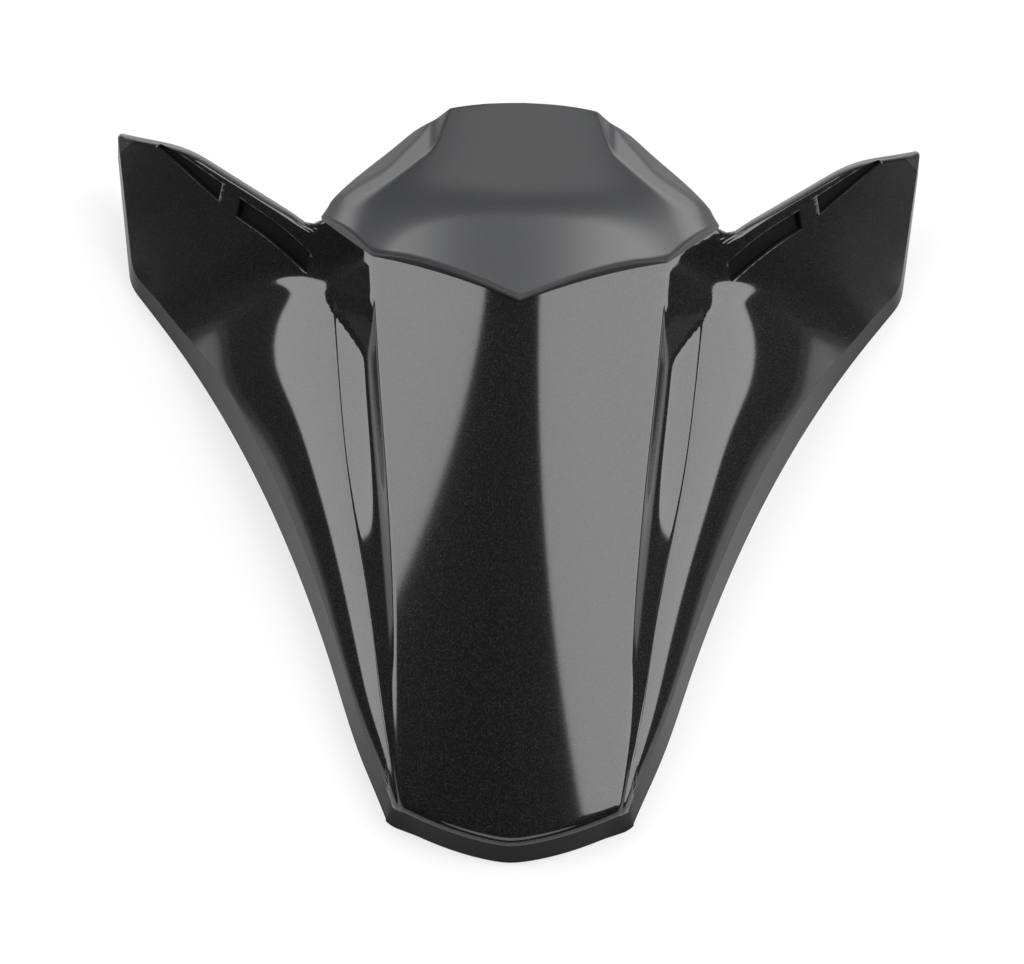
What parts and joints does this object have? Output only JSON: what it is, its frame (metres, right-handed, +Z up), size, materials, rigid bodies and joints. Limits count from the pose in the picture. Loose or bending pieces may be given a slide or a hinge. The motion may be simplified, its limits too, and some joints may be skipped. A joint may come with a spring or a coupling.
{
  "type": "seat cowl",
  "caption": "Wedge-shaped motorbike seat cowl: a gloss shell with swept, slotted wings and a satin raised crown, fixed in place of the pillion seat by a hook tongue and a lock striker.",
  "frame": {"origin": "centre of the bounding box in plan, at the height of the lower rim the cowl rests on", "axes": "+X to the rider's right, +Y forward from the tail lip to the wing tips, +Z up"},
  "size_m": [0.3416, 0.332, 0.135],
  "materials": {
    "shell": "near-black metallic flake under a clear gloss coat",
    "crown": "satin dark grey paint",
    "screws": "zinc-plated steel",
    "bracket": "black satin coated steel",
    "striker": "zinc-plated steel rod",
    "rubber": "black moulded rubber"
  },
  "bodies": {
    "root": {"cowl_shell": "shell", "crown_cover": "crown", "crown_screws": "screws", "lock_bracket": "bracket", "bracket_screws": "screws", "lock_striker": "striker", "tail_tongue": "bracket", "tongue_screws": "screws", "bump_rubbers": "rubber"}
  },
  "joints": []
}
